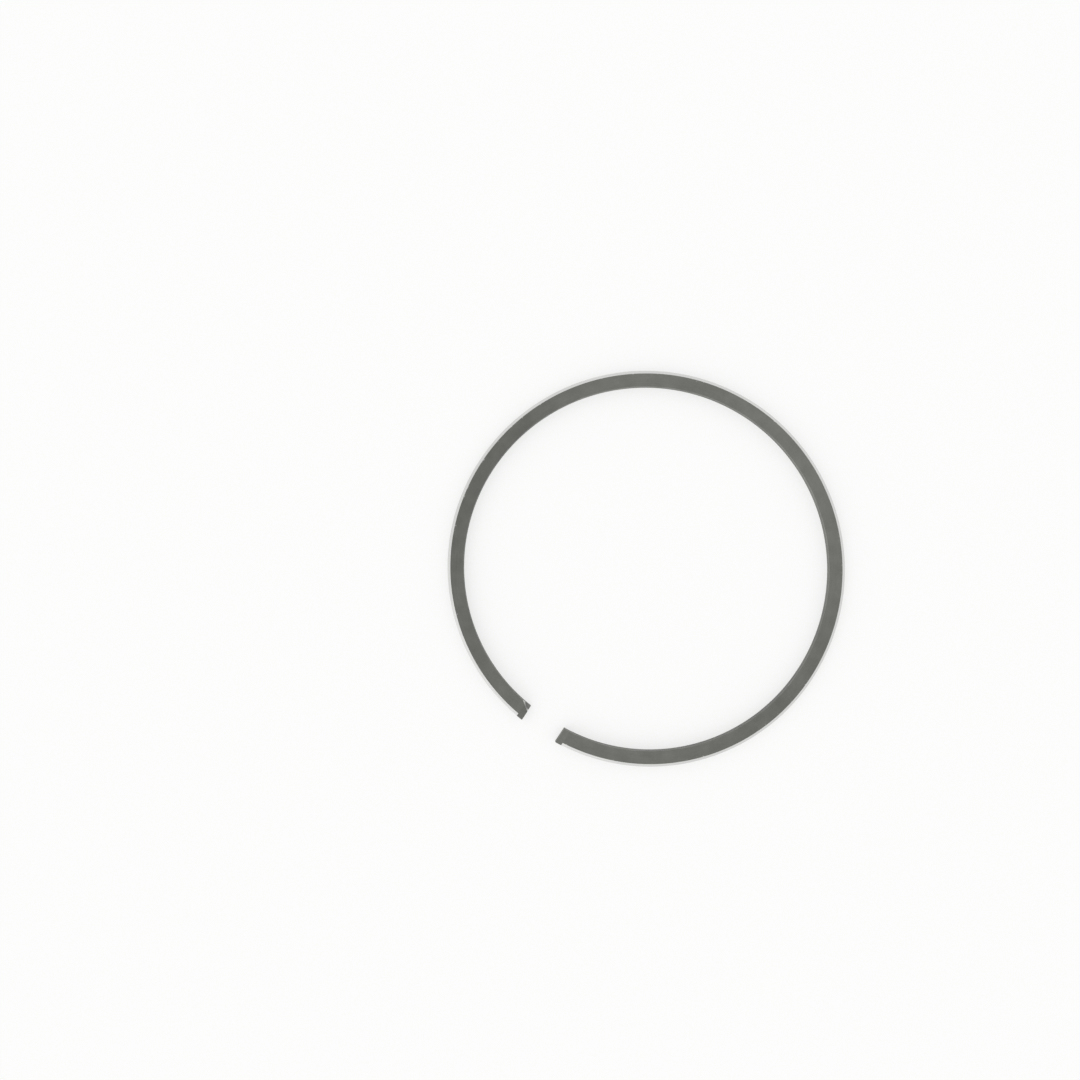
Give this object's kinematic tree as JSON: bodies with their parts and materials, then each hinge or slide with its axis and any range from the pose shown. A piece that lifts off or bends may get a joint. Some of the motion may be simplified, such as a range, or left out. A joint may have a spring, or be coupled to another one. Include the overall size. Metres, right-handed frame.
{
  "type": "piston ring",
  "caption": "Split metal piston ring of rectangular section, with a bright bevel on its upper outer edge that stops short of the gap and a small pin notch at one end.",
  "frame": {"origin": "middle of the free ring's outline, on the plane of its lower face", "axes": "+Z along the cylinder bore's axis, from the plain lower face to the bevelled upper face; the gap is at -Y and the back of the ring at +Y"},
  "size_m": [0.0518, 0.051, 0.0015],
  "materials": {
    "ring_iron": "dark grey phosphate on the side, inner and end faces; bright lapped metal on the running face and the bevel"
  },
  "bodies": {
    "root": {"piston_ring": "ring_iron"}
  },
  "joints": []
}
